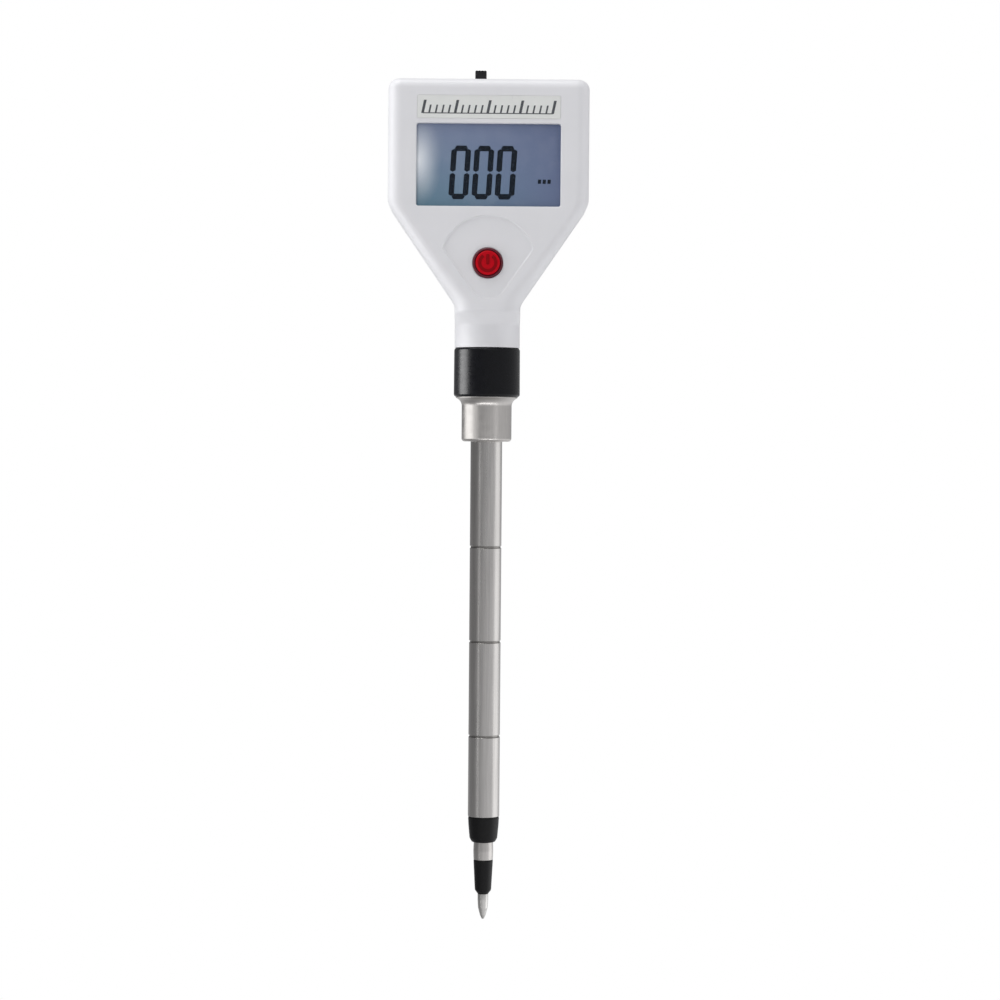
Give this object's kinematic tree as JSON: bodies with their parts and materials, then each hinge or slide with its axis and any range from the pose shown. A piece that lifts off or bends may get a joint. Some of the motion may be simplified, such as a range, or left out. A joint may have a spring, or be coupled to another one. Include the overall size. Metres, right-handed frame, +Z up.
{
  "type": "soil conductivity meter",
  "caption": "Hand-held soil conductivity meter: white fan-shaped head with a display and a red power button, black collar, and a long stainless probe ending in ring and tip electrodes.",
  "frame": {"origin": "the point of the probe's tip electrode, on the probe's axis", "axes": "+Z up along the probe's axis towards the head, +X to the right seen from the display side, -Y out of the display's face"},
  "size_m": [0.0628, 0.029, 0.2689],
  "materials": {
    "white_plastic": "satin moulded white",
    "black_plastic": "satin moulded black",
    "grey_plastic": "matte moulded grey",
    "clear_plastic": "clear, polished",
    "display_glass": "blue-grey liquid crystal cell",
    "light_panel": "milky light guide",
    "silicone_strip": "matte silicone",
    "label_film": "printed satin film",
    "red_plastic": "glossy red",
    "maroon_rubber": "dark red elastomer",
    "black_rubber": "matte",
    "stainless": "turned and brushed along its length",
    "nickel": "bright nickel plate",
    "board_green": "green solder mask",
    "chip_black": "moulded epoxy",
    "cell_jacket": "plain blue foil",
    "red_wire": "red insulation",
    "white_wire": "white insulation",
    "black_wire": "black insulation"
  },
  "bodies": {
    "root": {"front_shell": "white_plastic", "rear_shell": "white_plastic", "coupling_sleeve": "black_plastic", "battery_tray": "black_plastic", "upper_insulator": "black_plastic", "lower_insulator": "black_plastic", "lcd_frame": "grey_plastic", "tact_switch_body": "grey_plastic", "display_window": "clear_plastic", "lcd_cell": "display_glass", "lcd_light_panel": "light_panel", "lcd_contact_strip": "silicone_strip", "label_strip": "label_film", "button_seal": "maroon_rubber", "neck_gasket": "black_rubber", "ferrule": "stainless", "probe_tube": "stainless", "ring_electrode": "stainless", "tip_electrode": "stainless", "slide_switch_body": "nickel", "battery_bridge": "nickel", "battery_bridge_spring": "nickel", "battery_minus_spring": "nickel", "battery_plus_plate": "nickel", "board_screw_1": "nickel", "board_screw_2": "nickel", "case_screw_1": "nickel", "case_screw_2": "nickel", "case_screw_3": "nickel", "case_screw_4": "nickel", "main_board": "board_green", "controller_chip": "chip_black", "amplifier_chip": "chip_black", "battery_cell_1": "cell_jacket", "battery_cell_2": "cell_jacket", "tip_lead": "red_wire", "battery_plus_lead": "red_wire", "ring_lead": "white_wire", "tube_lead": "black_wire", "battery_minus_lead": "black_wire"},
    "power_button": {"button_cap": "red_plastic", "tact_switch_plunger": "black_plastic"},
    "range_knob": {"slide_switch_knob": "black_plastic"},
    "battery_door": {"battery_door": "white_plastic"}
  },
  "joints": [
    {"name": "button_press", "type": "slide", "parent": "root", "child": "power_button", "axis": [0, 1, 0], "range_m": [0, 0.0008], "stiffness_N_per_m": 800},
    {"name": "range_slide", "type": "slide", "parent": "root", "child": "range_knob", "axis": [1, 0, 0], "range_m": [0, 0.0052]},
    {"name": "door_tilt", "type": "hinge", "parent": "root", "child": "battery_door", "pos_m": [0, 0.014, 0.2275], "axis": [-1, 0, 0], "range_deg": [0, 75]}
  ]
}
